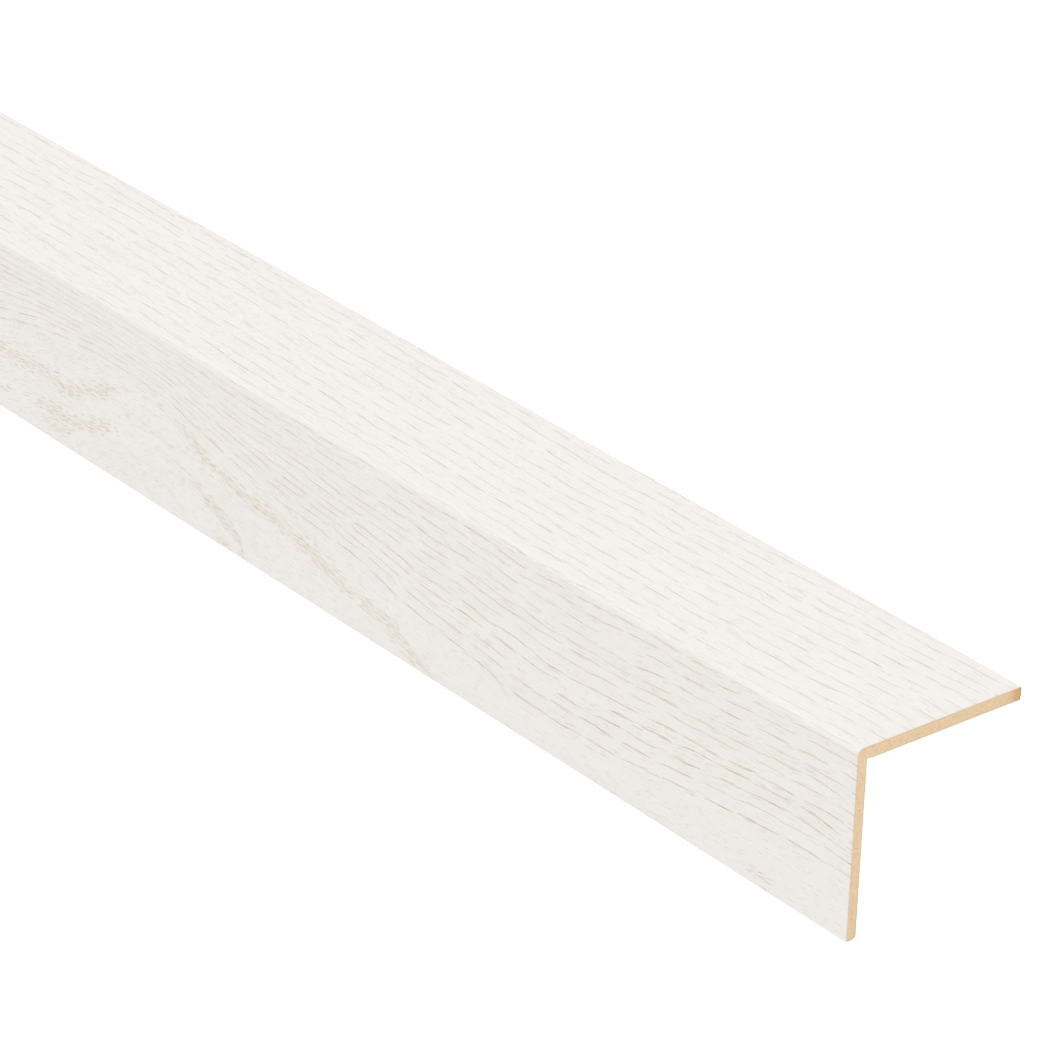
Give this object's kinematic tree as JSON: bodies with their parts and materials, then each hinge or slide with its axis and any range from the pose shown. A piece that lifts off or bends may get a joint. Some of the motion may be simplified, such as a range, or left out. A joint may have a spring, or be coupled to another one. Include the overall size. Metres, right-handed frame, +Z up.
{
  "type": "corner guard moulding",
  "caption": "Equal-leg angle moulding of thin fibreboard, wrapped outside in white wood-grain foil, that covers and guards an outside corner of a wall.",
  "frame": {"origin": "on the floor, at the middle of the footprint", "axes": "+X along the length, +Z up through the ridge; the thicker leg goes down towards +Y and the thinner one towards -Y"},
  "size_m": [2.4, 0.0844, 0.0439],
  "materials": {
    "fibreboard": "raw, sawn end",
    "foil": "satin, fine embossed wood grain"
  },
  "bodies": {
    "root": {"mdf_core": "fibreboard", "decor_foil": "foil"}
  },
  "joints": []
}
